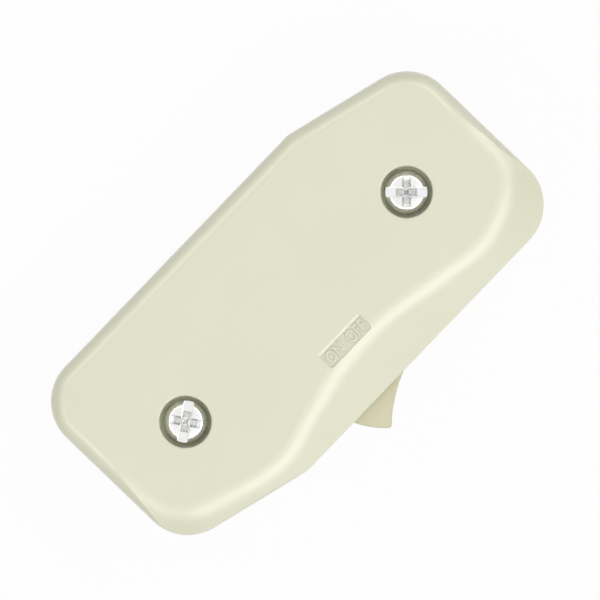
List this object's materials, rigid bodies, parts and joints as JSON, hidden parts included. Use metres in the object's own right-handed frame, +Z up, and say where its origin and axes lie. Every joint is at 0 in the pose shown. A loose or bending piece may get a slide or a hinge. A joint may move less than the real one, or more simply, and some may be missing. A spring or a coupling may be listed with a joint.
{
  "type": "inline cord switch",
  "caption": "Flat ivory in-line cord switch: screwed two-half case with tapered corners, cord slots at both ends and a dished side rocker working a seesaw contact.",
  "frame": {"origin": "middle of the front cover's flat face, which the switch lies on", "axes": "+X along the case, +Z up toward the screw heads, rocker on the -Y side"},
  "size_m": [0.0636, 0.0343, 0.018],
  "materials": {
    "ivory_cover": "smooth moulded ivory",
    "ivory_rocker": "smooth moulded ivory",
    "white_nylon": "moulded",
    "spring_steel": "drawn wire",
    "copper": "stamped sheet",
    "silver": "headed rivet",
    "brass": "stamped sheet",
    "brass_screw": "turned",
    "zinc_screw": "zinc plated",
    "zinc_nut": "zinc plated"
  },
  "bodies": {
    "housing": {"rear_cover": "ivory_cover", "front_cover": "ivory_cover", "load_terminal": "brass", "line_terminal": "brass", "fixed_contact": "silver", "load_terminal_screw": "brass_screw", "line_terminal_screw": "brass_screw", "cover_screw_right": "zinc_screw", "cover_screw_left": "zinc_screw", "cover_nut_right": "zinc_nut", "cover_nut_left": "zinc_nut"},
    "rocker": {"rocker": "ivory_rocker", "plunger_spring": "spring_steel"},
    "plunger": {"plunger": "white_nylon"},
    "seesaw": {"seesaw_contact": "copper", "moving_contact": "silver"}
  },
  "joints": [
    {"name": "rocker_tilt", "type": "hinge", "parent": "housing", "child": "rocker", "pos_m": [0.0044, -0.01075, 0.009], "axis": [0, 0, 1], "range_deg": [-26, 0]},
    {"name": "seesaw_rock", "type": "hinge", "parent": "housing", "child": "seesaw", "pos_m": [0.0044, -0.00307, 0.009], "axis": [0, 0, 1], "range_deg": [0, 16]},
    {"name": "plunger_slide", "type": "slide", "parent": "rocker", "child": "plunger", "axis": [0.225, -0.9744, 0], "range_m": [0, 0.0006], "stiffness_N_per_m": 400, "springref_m": -0.001, "deforming": ["plunger_spring"]}
  ],
  "couplings": [
    {"joint": "seesaw_rock", "follows": "rocker_tilt", "ratio": -0.61538}
  ]
}
